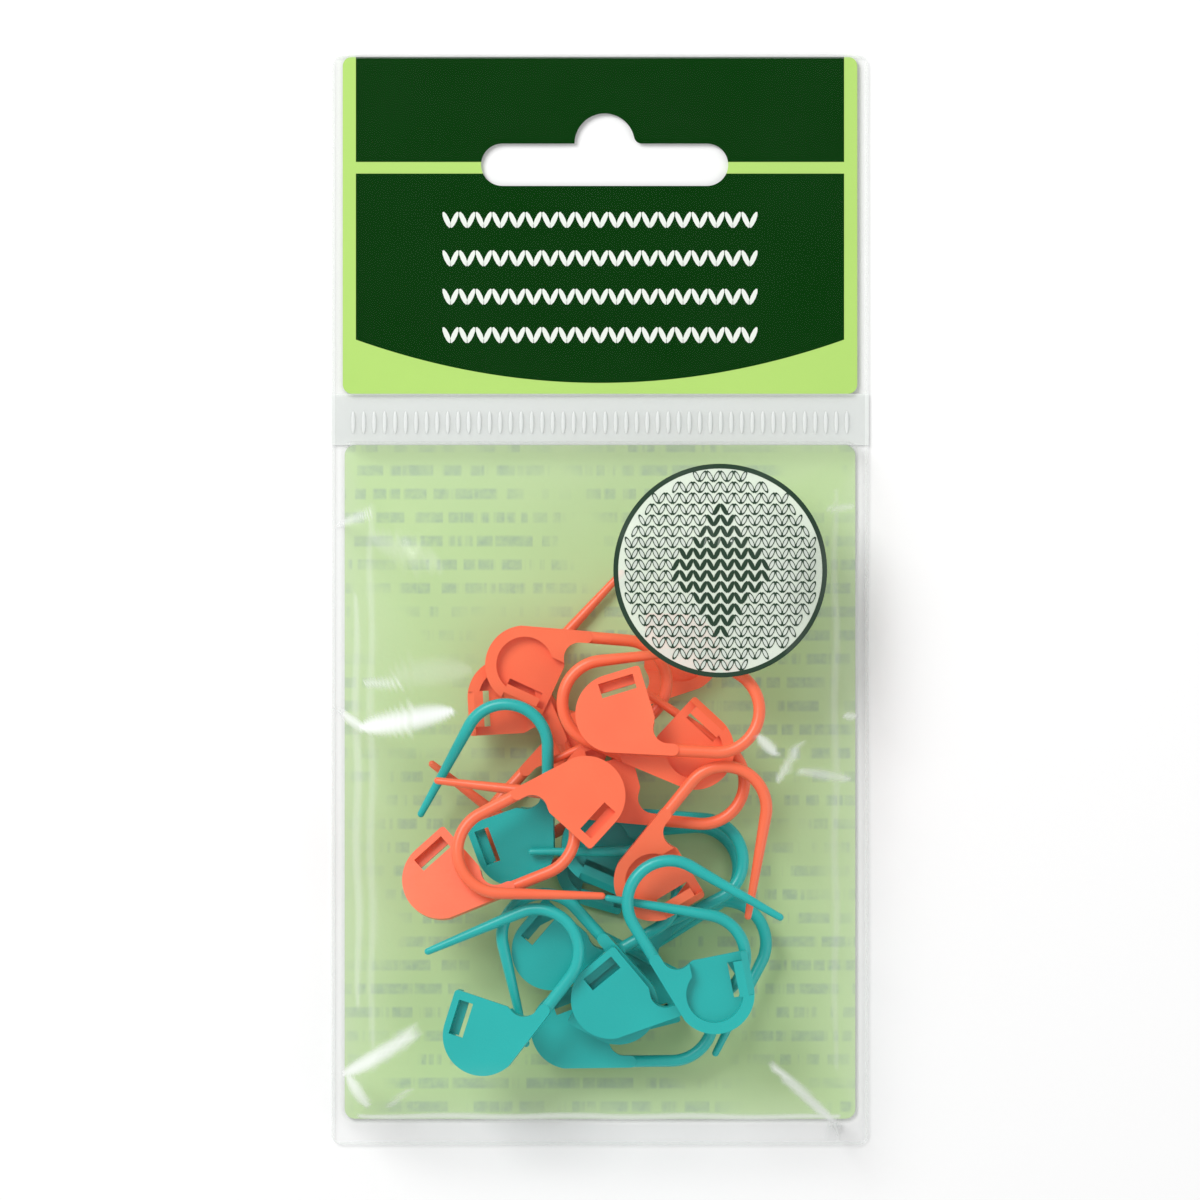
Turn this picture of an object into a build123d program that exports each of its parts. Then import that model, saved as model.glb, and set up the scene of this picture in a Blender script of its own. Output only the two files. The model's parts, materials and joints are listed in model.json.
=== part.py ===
import os
from math import ceil, cos, degrees, radians, sin, sqrt

import numpy as np
from build123d import *

# A hanging packet of twenty locking stitch markers.
# X runs across the packet, +Y up to the hang slot, +Z from the back film to the front.
# The underside of the back film lies at z = 0 and the packet is centred on x = y = 0.

# Packet
packetWidth = 69.6
packetHeight = 141.2
packetCorner = 1.5
filmThickness = 0.15
sheetGap = 0.05

# Header card, its hang slot and the crimped seal under it
cardSideInset = 1.5
cardHeight = 43.6
cardTopInset = 0.3
cardThickness = 0.4
cardCorner = 1.2
slotWidth = 32.0
slotHeight = 5.5
slotCentreX = 0.6
slotTopInset = 11.5
slotHumpRadius = 3.9
slotHumpFillet = 1.0
sealDrop = 6.3
ribPitch = 1.36
ribWidth = 0.5
ribLength = 3.0
ribHeight = 0.15
ribDrop = 2.2

# Lower pocket inside the heat-sealed edges, and the insert sheet in it
pocketSideSeal = 1.4
pocketFootSeal = 3.1
insertThickness = 0.25
insertSideGap = 0.35
insertCorner = 1.3

# Bulge of the front film over the markers
pillowSideRun = 13.0
pillowTopRun = 17.0
pillowBottomRun = 11.0
pillowCorner = 1.5
pillowCornerGrowth = 9.0
pillowLevelShares = (0.0, 0.22, 0.45, 0.66, 0.83, 0.94, 1.0)
pillowShoulderShare = 0.97
pileClearance = 0.35

# Round badge printed on the front film
badgeRadius = 13.7
badgeSideInset = 4.3
badgeTopInset = 2.9
badgeThickness = 0.06

# One marker, drawn with its front face towards +Z, head centre on the origin, leg along +Y
headRadius = 5.1
headThickness = 1.7
headEdgeTop = 4.72
headTurn = 20.0
headCorner = 0.45
rimWidth = 1.45
plateThickness = 0.4
pocketRight = 2.4
windowWall = 0.85
windowWidth = 1.9
windowLow = 1.0
windowTop = 3.6
catchHeight = 0.12
catchLow = 0.7
webRadius = 2.0
wireDiameter = 1.55
tipDiameter = 0.9
legCentre = 4.25
legRootShare = 0.4
bowRadius = 5.4
bowCentreY = 13.0
bowTurn = 151.0
hingeTurn = 80.0
hingeClearance = 0.06
armLength = 13.2
closingTurn = 33.0
balanceXShare = 0.05
balanceYShare = 0.35

# Free space kept between neighbouring markers in the heap
stackGap = 0.15
sideGap = 0.05
gridStep = 0.2
sweepAngle = 3.0
largestTiltAngle = 9.0
tiltStepAngle = 3.0

# The heap from the lowest marker to the highest: name, place across and along the insert
# sheet, heading of the leg in degrees, and the face turned up, front (1) or reverse (-1).
# Places are counted from the middle of the insert sheet, in shares of its half width and height.
heapShares = (
    ("coral_10", 0.318, 0.380, 198, -1),
    ("teal_10", -0.018, -0.251, 4, -1),
    ("coral_4", -0.042, 0.102, 228, 1),
    ("coral_2", -0.360, 0.253, 293, -1),
    ("coral_1", -0.293, 0.350, -5, -1),
    ("teal_4", 0.139, -0.620, 34, -1),
    ("teal_8", -0.115, -0.731, 1, 1),
    ("teal_2", 0.003, -0.182, -4, -1),
    ("teal_1", -0.324, -0.185, 90, 1),
    ("coral_9", 0.003, 0.003, -5, 1),
    ("coral_5", 0.366, 0.097, 157, -1),
    ("teal_9", -0.188, -0.492, 30, 1),
    ("teal_7", 0.073, -0.648, 132, 1),
    ("coral_7", -0.608, -0.288, 22, 1),
    ("coral_8", 0.206, -0.283, 51, -1),
    ("coral_3", 0.061, 0.201, -3, 1),
    ("teal_5", 0.042, -0.632, 20, 1),
    ("teal_6", -0.448, -0.742, 52, 1),
    ("teal_3", 0.442, -0.616, 121, -1),
    ("coral_6", -0.057, -0.036, 208, 1),
)

wireRadius = wireDiameter / 2
tipRadius = tipDiameter / 2
pocketRadius = headRadius - rimWidth
pocketDepth = headThickness - plateThickness
bowCentre = (legCentre - bowRadius, bowCentreY)
packetTop = packetHeight / 2
cardWidth = packetWidth - 2 * cardSideInset
cardTop = packetTop - cardTopInset
cardBottom = cardTop - cardHeight
ribCount = int(cardWidth / ribPitch)
sealBottom = cardBottom - sealDrop
pocketWidth = packetWidth - 2 * pocketSideSeal
pocketBottom = pocketFootSeal - packetTop
insertWidth = pocketWidth - 2 * insertSideGap
insertHeight = sealBottom - pocketBottom - 2 * insertSideGap
insertCentreY = (sealBottom + pocketBottom) / 2
badgeX = pocketWidth / 2 - badgeSideInset - badgeRadius
badgeY = sealBottom - badgeTopInset - badgeRadius
floorTop = filmThickness + insertThickness


def onBow(turn):
    angle = radians(turn)
    return (bowCentre[0] + bowRadius * cos(angle), bowCentre[1] + bowRadius * sin(angle))


def turned(point, turn):
    angle = radians(turn)
    return (
        point[0] * cos(angle) - point[1] * sin(angle),
        point[0] * sin(angle) + point[1] * cos(angle),
    )


def roundedBox(width, height, corner, low, high, centre=(0, 0)):
    face = Pos(centre[0], centre[1], low) * RectangleRounded(width, height, corner)
    return extrude(face, high - low, dir=(0, 0, 1))


def span(x0, x1, y0, y1):
    return Pos((x0 + x1) / 2, (y0 + y1) / 2) * Rectangle(x1 - x0, y1 - y0)


def raised(face, low, high):
    return extrude(Pos(0, 0, low) * face, high - low, dir=(0, 0, 1))


# The bow turns on the point of its centreline at the hinge turn
hingePoint = onBow(hingeTurn)
armStart = onBow(bowTurn)
armHeading = (-sin(radians(bowTurn)), cos(radians(bowTurn)))
armEnd = (armStart[0] + armLength * armHeading[0], armStart[1] + armLength * armHeading[1])


def makeHead():
    # Disc with one square corner; its straight edges are turned against the leg
    flatEnd = sqrt(headRadius**2 - headEdgeTop**2)
    block = span(-headRadius, flatEnd, 0, headEdgeTop)
    block = fillet(block.vertices().sort_by(Axis.Y)[-2:].sort_by(Axis.X)[0], headCorner)
    outline = Rot(0, 0, headTurn) * (Circle(headRadius) + block)

    # Web between the disc and the leg, hollowed by a circle that touches both
    legInner = legCentre - wireRadius
    webX = legInner - webRadius
    webY = sqrt((headRadius + webRadius) ** 2 - webX**2)
    touch = headRadius / (headRadius + webRadius)
    web = make_face(
        Polyline(
            (0, 0), (webX * touch, webY * touch), (webX, webY), (legInner, webY),
            (legCentre, webY), (legCentre, 0), close=True,
        )
    ) - Pos(webX, webY) * Circle(webRadius)
    head = raised(outline + web, 0, headThickness)

    # Pocket on the reverse side, open at the straight top edge
    windowLeft = -headRadius + windowWall
    pocket = Circle(pocketRadius) + span(windowLeft, pocketRight, -windowLow, headRadius * 2)
    head -= Rot(0, 0, headTurn) * raised(pocket, 0, pocketDepth)

    # The arm passes over a low catch on the side of the window
    gate = span(-headRadius * 2, windowLeft + rimWidth, catchLow, headRadius * 2)
    head -= Rot(0, 0, headTurn) * raised(gate, 0, pocketDepth - catchHeight)
    window = span(windowLeft, windowLeft + windowWidth, -windowLow, windowTop)
    head -= Rot(0, 0, headTurn) * raised(window, pocketDepth / 2, headThickness * 2)
    return head


def bowPiece(fromTurn, toTurn):
    path = CenterArc((bowCentre[0], bowCentre[1]), bowRadius, fromTurn, toTurn - fromTurn)
    start = Plane(origin=path @ 0, z_dir=path % 0)
    return sweep(start * Circle(wireRadius), path=path)


def makeMarkerBody():
    rootY = headRadius * legRootShare
    leg = Pos(legCentre, rootY, 0) * Rot(-90, 0, 0) * Cylinder(
        wireRadius, bowCentreY - rootY, align=(Align.CENTER, Align.CENTER, Align.MIN)
    )
    wire = leg + bowPiece(0, hingeTurn)
    wire -= Pos(hingePoint[0], hingePoint[1], 0) * Sphere(wireRadius + hingeClearance)
    return makeHead() + Pos(0, 0, wireRadius) * wire


def halfBall(radius):
    return Sphere(radius, arc_size1=0, align=(Align.CENTER, Align.CENTER, Align.MIN))


def makeMarkerArm():
    # The side of the pin that faces the reverse stays level while the pin tapers
    start = Plane(
        origin=(armStart[0], armStart[1], wireRadius), x_dir=(0, 0, 1),
        z_dir=(armHeading[0], armHeading[1], 0),
    )
    end = Plane(
        origin=(armEnd[0], armEnd[1], tipRadius), x_dir=(0, 0, 1), z_dir=start.z_dir
    )
    pin = loft([start * Circle(wireRadius), end * Circle(tipRadius)], ruled=True)
    bow = Pos(0, 0, wireRadius) * bowPiece(hingeTurn, bowTurn)
    angle = radians(hingeTurn)
    knuckle = Plane(
        origin=(hingePoint[0], hingePoint[1], wireRadius), z_dir=(sin(angle), -cos(angle), 0)
    )
    return bow + pin + knuckle * halfBall(wireRadius) + end * halfBall(tipRadius)


# Cells of a height map over the lower pocket
cellsX = np.arange(-packetWidth / 2, packetWidth / 2, gridStep)
cellsY = np.arange(-packetTop, sealBottom, gridStep)
cellX, cellY = np.meshgrid(cellsX, cellsY)
cellMargin = sideGap + gridStep * sqrt(1 / 2)


def localCells(x, y, heading, face):
    dx, dy = cellX - x, cellY - y
    angle = radians(heading - 90)
    u, v = dx * cos(angle) + dy * sin(angle), dy * cos(angle) - dx * sin(angle)
    return u * face, v, dx, dy


def nearSegment(u, v, a, b, radius):
    length2 = (b[0] - a[0]) ** 2 + (b[1] - a[1]) ** 2
    along = np.clip(((u - a[0]) * (b[0] - a[0]) + (v - a[1]) * (b[1] - a[1])) / length2, 0, 1)
    du, dv = u - a[0] - along * (b[0] - a[0]), v - a[1] - along * (b[1] - a[1])
    return du**2 + dv**2 < (radius + cellMargin) ** 2


def nearBow(u, v, fromTurn, toTurn, radius):
    du, dv = u - bowCentre[0], v - bowCentre[1]
    angle = np.degrees(np.arctan2(dv, du)) % 360
    reach = degrees((radius + cellMargin) / bowRadius)
    inside = (angle > fromTurn - reach) & (angle < toTurn + reach)
    return inside & (abs(np.hypot(du, dv) - bowRadius) < radius + cellMargin)


def headCells(u, v):
    a, b = turned((u, v), -headTurn)
    edge = cellMargin
    square = (a > -headRadius - edge) & (a < headRadius) & (b > 0) & (b < headEdgeTop + edge)
    disc = np.hypot(u, v) < headRadius + edge
    square &= a < sqrt(headRadius**2 - headEdgeTop**2) + edge
    web = nearSegment(u, v, (webRadius, headRadius), (legCentre, headRadius), webRadius / 2)
    return disc | square | web


def wireCells(u, v):
    cells = nearSegment(u, v, (legCentre, 0), (legCentre, bowCentreY), wireRadius)
    cells |= nearBow(u, v, 0, bowTurn, wireRadius)
    for step in range(ceil(closingTurn / sweepAngle) + 1):
        turn = -min(step * sweepAngle, closingTurn)
        a, b = turned((u - hingePoint[0], v - hingePoint[1]), turn)
        a, b = a + hingePoint[0], b + hingePoint[1]
        cells |= nearBow(a, b, hingeTurn, bowTurn, wireRadius)
        cells |= nearSegment(a, b, armStart, armEnd, wireRadius)
    return cells


def settle():
    # Each marker in turn comes down on what lies under it, with the tilt that lets it lie lowest
    top = np.full(cellX.shape, floorTop)
    turns = np.radians(np.arange(-largestTiltAngle, largestTiltAngle + tiltStepAngle, tiltStepAngle))
    slopesX, slopesY = [slopes.ravel() for slopes in np.meshgrid(np.tan(turns), np.tan(turns))]
    steep = np.sqrt(1 + slopesX**2 + slopesY**2)
    places = {}
    for name, xShare, yShare, heading, face in heapShares:
        x, y = xShare * insertWidth / 2, insertCentreY + yShare * insertHeight / 2
        u, v, dx, dy = localCells(x, y, heading, face)
        head, wire = headCells(u, v), wireCells(u, v)
        headRise = np.outer(slopesX, dx[head]) + np.outer(slopesY, dy[head])
        wireRise = np.outer(slopesX, dx[wire]) + np.outer(slopesY, dy[wire])
        balance = turned(
            (face * balanceXShare * bowCentreY, balanceYShare * bowCentreY), heading - 90
        )
        wireLow = (0 if face > 0 else headThickness - wireDiameter) * steep
        wireHigh = wireLow + wireDiameter * steep
        headHigh = headThickness * steep
        z = np.maximum(
            (top[head] + stackGap - headRise).max(1),
            (top[wire] + stackGap - wireRise).max(1) - wireLow,
        )
        highest = z + np.maximum(headRise.max(1) + headHigh, wireRise.max(1) + wireHigh)
        lift = z + slopesX * balance[0] + slopesY * balance[1]
        best = int((highest + lift).argmin())
        top[wire] = np.maximum(top[wire], z[best] + wireRise[best] + wireHigh[best])
        top[head] = np.maximum(top[head], z[best] + headRise[best] + headHigh[best])
        places[name] = (x, y, z[best], heading, face, slopesX[best], slopesY[best])
    return places, top


def markerPlace(x, y, z, heading, face, slopeX, slopeY):
    angle = radians(heading - 90)
    flatX = Vector(cos(angle), sin(angle), slopeX * cos(angle) + slopeY * sin(angle))
    plane = Plane(origin=(x, y, z), x_dir=flatX, z_dir=(-slopeX, -slopeY, 1))
    turn = Location((0, 0, 0)) if face > 0 else Pos(0, 0, headThickness) * Rot(0, 180, 0)
    return plane.location * turn


places, pileTop = settle()
pillowHeight = pileTop.max() + pileClearance + filmThickness


def pillow(growth):
    # Rounded rectangles stacked to a soft dome; growth moves the whole skin outwards
    halfWidth = pocketWidth / 2 + growth
    bottom = pocketBottom - growth
    top = sealBottom + growth
    low = filmThickness
    high = pillowHeight - filmThickness + growth
    sections = []
    for share in pillowLevelShares:
        run = 1 - sqrt(1 - (share * pillowShoulderShare) ** 2)
        side, head, foot = run * pillowSideRun, run * pillowTopRun, run * pillowBottomRun
        y0, y1 = bottom + foot, top - head
        face = RectangleRounded(
            2 * (halfWidth - side), y1 - y0, pillowCorner + growth + run * pillowCornerGrowth
        )
        sections.append(Pos(0, (y0 + y1) / 2, low + share * (high - low)) * face)
    return loft(sections)


def makeSlot():
    # A bar with round ends and a round hump over its middle
    slotTop = packetTop - slotTopInset
    bar = Pos(slotCentreX, slotTop - slotHeight / 2) * SlotOverall(slotWidth, slotHeight)
    outline = bar + Pos(slotCentreX, slotTop) * Circle(slotHumpRadius)
    shoulders = outline.vertices().filter_by_position(Axis.Y, slotTop, slotTop)
    return raised(fillet(shoulders.sort_by(Axis.X)[1:-1], slotHumpFillet), -packetTop, packetTop)


slot = makeSlot()
headerCentre = (0, (cardTop + cardBottom) / 2)

backFilm = roundedBox(packetWidth, packetHeight, packetCorner, 0, filmThickness) - slot

headerCard = roundedBox(
    cardWidth, cardHeight, cardCorner, filmThickness, filmThickness + cardThickness, headerCentre
) - slot

insertSheet = roundedBox(
    insertWidth, insertHeight, insertCorner, filmThickness, floorTop,
    (0, insertCentreY),
)

headerTop = filmThickness + cardThickness + sheetGap
flange = roundedBox(
    packetWidth, packetHeight, packetCorner, filmThickness, 2 * filmThickness
)
headerShell = roundedBox(
    cardWidth + 2 * (sheetGap + filmThickness), cardHeight + 2 * (sheetGap + filmThickness),
    cardCorner, filmThickness, headerTop + filmThickness, headerCentre,
)
headerRoom = roundedBox(
    cardWidth + 2 * sheetGap, cardHeight + 2 * sheetGap, cardCorner, filmThickness, headerTop,
    headerCentre,
)
pillowOuter = pillow(filmThickness)
pillowInner = pillow(0)
frontFilm = flange + headerShell + pillowOuter
ribFace = Box(ribWidth, ribLength, ribHeight, align=(Align.CENTER, Align.MAX, Align.MIN))
for index in range(ribCount):
    ribX = (index - (ribCount - 1) / 2) * ribPitch
    frontFilm += Pos(ribX, cardBottom - ribDrop, 2 * filmThickness) * ribFace
frontFilm = frontFilm - headerRoom - pillowInner - slot

badgeDisc = Pos(badgeX, badgeY, filmThickness) * Cylinder(
    badgeRadius, packetTop, align=(Align.CENTER, Align.CENTER, Align.MIN)
)
badge = (pillow(filmThickness + badgeThickness) - pillowOuter) & badgeDisc

pieces = {
    "back_film": backFilm,
    "header_card": headerCard,
    "insert_sheet": insertSheet,
    "front_film": frontFilm,
    "badge": badge,
}

markerBody, markerArm = makeMarkerBody(), makeMarkerArm()
hinges = {}
for name in places:
    place = markerPlace(*places[name])
    pieces[name + "_body"] = markerBody.moved(place)
    pieces[name + "_arm"] = markerArm.moved(place)
    pivot = place * Pos(hingePoint[0], hingePoint[1], wireRadius)
    axis = Plane(place).z_dir
    hinges[name] = (tuple(pivot.position), tuple(axis))
    print(name, "hinge at", *[round(value, 3) for value in pivot.position],
          "axis", *[round(value, 4) for value in axis])

os.makedirs("parts", exist_ok=True)
for name, shape in pieces.items():
    export_step(shape, "parts/" + name + ".step")
print("pieces", len(pieces), "packet thickness", round(pillowHeight, 2))
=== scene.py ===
import json
import math

import bmesh
import bpy
import numpy as np
from mathutils import Matrix, Vector, noise


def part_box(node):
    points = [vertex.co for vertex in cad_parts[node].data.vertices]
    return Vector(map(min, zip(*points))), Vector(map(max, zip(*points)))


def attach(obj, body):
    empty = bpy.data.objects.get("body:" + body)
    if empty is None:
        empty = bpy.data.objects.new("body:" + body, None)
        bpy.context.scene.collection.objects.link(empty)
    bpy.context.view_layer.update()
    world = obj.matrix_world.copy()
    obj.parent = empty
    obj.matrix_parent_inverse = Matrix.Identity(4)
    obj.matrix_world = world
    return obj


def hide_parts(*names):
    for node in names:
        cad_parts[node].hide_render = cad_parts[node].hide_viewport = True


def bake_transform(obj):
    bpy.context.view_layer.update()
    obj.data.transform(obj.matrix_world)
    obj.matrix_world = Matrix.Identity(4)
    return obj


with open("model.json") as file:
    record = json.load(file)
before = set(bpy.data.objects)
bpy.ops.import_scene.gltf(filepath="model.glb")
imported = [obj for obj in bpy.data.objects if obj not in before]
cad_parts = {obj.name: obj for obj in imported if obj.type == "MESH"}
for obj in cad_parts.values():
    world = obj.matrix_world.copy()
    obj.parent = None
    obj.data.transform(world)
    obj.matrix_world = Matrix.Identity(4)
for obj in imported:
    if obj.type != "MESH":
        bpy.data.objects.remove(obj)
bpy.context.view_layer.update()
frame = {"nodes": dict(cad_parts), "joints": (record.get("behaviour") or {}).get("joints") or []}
mm = 0.001
print("frame loaded", len(frame["nodes"]), "nodes")


# Node helpers
def put(tree, kind, **settings):  # a node with its settings and its plain input values
    node = tree.nodes.new(kind)
    for name, value in settings.pop("props", {}).items():
        setattr(node, name, value)
    for name, value in settings.items():
        node.inputs[name.replace("_", " ")].default_value = value
    return node


def feed(tree, target, value):  # a socket takes a link or a plain number
    if isinstance(value, bpy.types.NodeSocket):
        tree.links.new(value, target)
    else:
        target.default_value = value


def sums(tree, operation, first, second=0.0, third=0.0):
    node = put(tree, "ShaderNodeMath", props={"operation": operation})
    for socket, value in zip(node.inputs, (first, second, third)):
        feed(tree, socket, value)
    return node.outputs[0]


def mixed(tree, factor, first, second):
    node = put(tree, "ShaderNodeMix", props={"data_type": "RGBA"})
    feed(tree, node.inputs[0], factor)
    for socket, value in ((node.inputs[6], first), (node.inputs[7], second)):
        feed(tree, socket, value if isinstance(value, bpy.types.NodeSocket) else (*value, 1))
    return node.outputs[2]


def newMaterial(name, colour, roughness, **fixed):
    material = bpy.data.materials.new(name)
    material.use_nodes = True
    tree = material.node_tree
    shader = tree.nodes["Principled BSDF"]
    shader.inputs["Base Color"].default_value = (*colour, 1)
    shader.inputs["Roughness"].default_value = roughness
    for socket, value in fixed.items():
        shader.inputs[socket.replace("_", " ")].default_value = value
    return material, tree, shader


def shaderGroup(name, inputs, outputs):
    tree = bpy.data.node_groups.new(name, "ShaderNodeTree")
    for label, value in inputs.items():
        socket = tree.interface.new_socket(label, in_out="INPUT", socket_type="NodeSocketFloat")
        socket.default_value = value
    for label in outputs:
        tree.interface.new_socket(label, in_out="OUTPUT", socket_type="NodeSocketFloat")
    return tree, tree.nodes.new("NodeGroupInput"), tree.nodes.new("NodeGroupOutput")


def useGroup(tree, group, **values):
    node = put(tree, "ShaderNodeGroup", props={"node_tree": group})
    for label, value in values.items():
        node.inputs[label].default_value = value
    return node


def bumpInto(tree, shader, height, distance, strength=1.0):
    bump = put(tree, "ShaderNodeBump", Strength=strength, Distance=distance)
    tree.links.new(height, bump.inputs["Height"])
    tree.links.new(bump.outputs["Normal"], shader.inputs["Normal"])


# Printed and moulded finishes
surface = {
    "broad": 120.0, "fine": 2500.0, "depth": 0.01, "roughSpread": 0.3, "roughBase": 0.85,
    "detail": 3.0, "plasticRoughness": 0.34, "plasticDepth": 0.012,
    "coral": (1.0, 0.20, 0.085), "coralDeep": (0.94, 0.13, 0.05),
    "teal": (0.012, 0.49, 0.46), "tealDeep": (0.008, 0.40, 0.38),
}
# Inks: colour, deeper colour and roughness
inks = {
    "darkInk": ((0.006, 0.03, 0.012), (0.01, 0.045, 0.02), 0.3),
    "whiteInk": ((0.86, 0.9, 0.84), (0.78, 0.84, 0.76), 0.35),
    "badgeField": ((0.82, 0.88, 0.80), (0.74, 0.82, 0.72), 0.3),
}

# Grain: broad tone and fine height, used by plastic, card, paper and ink
grain, grainIn, grainOut = shaderGroup(
    "surfaceGrain", {"Broad": surface["broad"], "Fine": surface["fine"]}, ("Tone", "Height")
)
where = put(grain, "ShaderNodeTexCoord").outputs["Object"]
for label, source in (("Tone", "Broad"), ("Height", "Fine")):
    cloud = put(grain, "ShaderNodeTexNoise", Detail=surface["detail"])
    grain.links.new(where, cloud.inputs["Vector"])
    grain.links.new(grainIn.outputs[source], cloud.inputs["Scale"])
    grain.links.new(cloud.outputs["Fac"], grainOut.inputs[label])

# Panel: 1 inside a rectangle that is given by its centre and half sizes
panel, panelIn, panelOut = shaderGroup(
    "printedPanel", {"Centre X": 0.0, "Centre Y": 0.0, "Half X": 0.01, "Half Y": 0.01}, ("Mask",)
)
split = put(panel, "ShaderNodeSeparateXYZ")
panel.links.new(put(panel, "ShaderNodeTexCoord").outputs["Object"], split.inputs[0])
sides = [
    sums(panel, "LESS_THAN", sums(panel, "ABSOLUTE", sums(
        panel, "SUBTRACT", split.outputs[axis], panelIn.outputs["Centre " + axis]
    )), panelIn.outputs["Half " + axis])
    for axis in "XY"
]
panel.links.new(sums(panel, "MULTIPLY", *sides), panelOut.inputs["Mask"])


def printed(name, colour, dark, roughness, broad=surface["broad"], fine=surface["fine"],
            depth=surface["depth"], **fixed):
    # a finish whose tone drifts between two colours, with a fine grain
    material, tree, shader = newMaterial(name, colour, roughness, **fixed)
    tone = useGroup(tree, grain, Broad=broad, Fine=fine)
    tree.links.new(mixed(tree, tone.outputs["Tone"], colour, dark), shader.inputs["Base Color"])
    rough = sums(tree, "MULTIPLY_ADD", tone.outputs["Tone"], roughness * surface["roughSpread"],
                 roughness * surface["roughBase"])
    tree.links.new(rough, shader.inputs["Roughness"])
    bumpInto(tree, shader, tone.outputs["Height"], depth * mm)
    return material


coralPlastic, tealPlastic = (
    printed(name + "Plastic", surface[name], surface[name + "Deep"], surface["plasticRoughness"],
            depth=surface["plasticDepth"]) for name in ("coral", "teal")
)
inkDark = printed("darkInk", *inks["darkInk"])
inkWhite = printed("whiteInk", *inks["whiteInk"])
badgeField = printed("badgeField", *inks["badgeField"], Alpha=0.8)


# Meshes
def newPiece(name, points, faces, material, smooth=True):
    mesh = bpy.data.meshes.new(name)
    mesh.from_pydata([tuple(p) for p in points], [], faces)
    mesh.materials.append(material)
    mesh.polygons.foreach_set("use_smooth", [smooth] * len(mesh.polygons))
    mesh.update()
    piece = bpy.data.objects.new(name, mesh)
    bpy.context.scene.collection.objects.link(piece)
    return piece


def settled(piece):  # the piece with its modifiers made final
    ready = bpy.data.meshes.new_from_object(
        piece.evaluated_get(bpy.context.evaluated_depsgraph_get())
    )
    piece.modifiers.clear()
    piece.data = ready
    return piece


def prism(name, outline, low, high, material):  # an outline in mm stood up between two heights
    area = sum(x0 * y1 - x1 * y0 for (x0, y0), (x1, y1) in zip(outline, outline[1:] + outline[:1]))
    ring = outline if area > 0 else outline[::-1]
    count = len(ring)
    points = [(x, y, z) for z in (low, high) for x, y in ring]
    faces = [(i, (i + 1) % count, (i + 1) % count + count, i + count) for i in range(count)]
    faces += [range(count - 1, -1, -1), range(count, 2 * count)]
    return newPiece(name, points, faces, material, smooth=False)


def combine(piece, other, operation):
    modifier = piece.modifiers.new("join", "BOOLEAN")
    modifier.operation, modifier.object, modifier.solver = operation, other, "EXACT"
    settled(piece)
    bpy.data.objects.remove(other)
    return piece


def arc(centre, radius, start, end, count):
    turns = [math.radians(start + (end - start) * i / count) for i in range(count + 1)]
    return [(centre[0] + radius * math.cos(a), centre[1] + radius * math.sin(a)) for a in turns]


def turnedBy(points, degrees):
    c, s = math.cos(math.radians(degrees)), math.sin(math.radians(degrees))
    return [(x * c - y * s, x * s + y * c) for x, y in points]


# One marker, in mm, front face up, head centre on the origin, leg along +Y
marker = {
    "headRadius": 5.1, "thickness": 1.7, "edgeTop": 4.72, "turn": 20.0, "corner": 0.45,
    "rim": 1.45, "plate": 0.4, "pocketRight": 2.4, "webRadius": 2.0,
    "windowWall": 0.85, "windowWidth": 1.9, "windowLow": 1.0, "windowTop": 3.6,
    "lipReach": 1.15, "lipDepth": 0.38, "rampDrop": 0.6,
    "wireRadius": 0.775, "tipRadius": 0.45, "legCentre": 4.25, "bowRadius": 5.4, "bowY": 13.0,
    "bowTurn": 151.0, "hingeTurn": 80.0, "armLength": 13.2, "edgeRound": 0.14,
    "bendStart": 2.5, "bendEnd": -4.8, "tongue": 0.7, "edgeAngle": 35.0, "edgeSegments": 2,
    "legStart": 0.4, "legStep": 2.0, "tipEnd": 0.02,
    "headSteps": 40, "cornerSteps": 6, "flatSteps": 4, "webSteps": 12,
    "legSteps": 5, "bowSteps": 40, "armSteps": 12, "tipSteps": 5, "wireSides": 20,
}
bowX = marker["legCentre"] - marker["bowRadius"]


def onBow(turn):
    a = math.radians(turn)
    return (bowX + marker["bowRadius"] * math.cos(a),
            marker["bowY"] + marker["bowRadius"] * math.sin(a))


def headOutline():
    m = marker
    r, turn = m["headRadius"], m["turn"]
    legInner = m["legCentre"] - m["wireRadius"]
    webX = legInner - m["webRadius"]
    webY = math.sqrt((r + m["webRadius"]) ** 2 - webX**2)
    webTurn = math.degrees(math.atan2(webY, webX))
    outer = m["legCentre"] + m["wireRadius"]
    outline = [(outer, webY), (outer, math.sqrt(r**2 - outer**2))]
    outline += arc((0, 0), r, -math.degrees(math.acos(outer / r)), turn - 180, m["headSteps"])
    corner = (-r + m["corner"], m["edgeTop"] - m["corner"])
    outline += turnedBy(arc(corner, m["corner"], 180, 90, m["cornerSteps"]), turn)
    flatTurn = turn + math.degrees(math.asin(m["edgeTop"] / r))
    outline += arc((0, 0), r, flatTurn, webTurn, m["flatSteps"])
    outline += arc((webX, webY), m["webRadius"], webTurn - 180, 0, m["webSteps"])
    tongue = (m["legCentre"], webY + m["tongue"])
    outline += arc(tongue, m["wireRadius"], 180, 0, m["webSteps"])
    return outline


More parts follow.
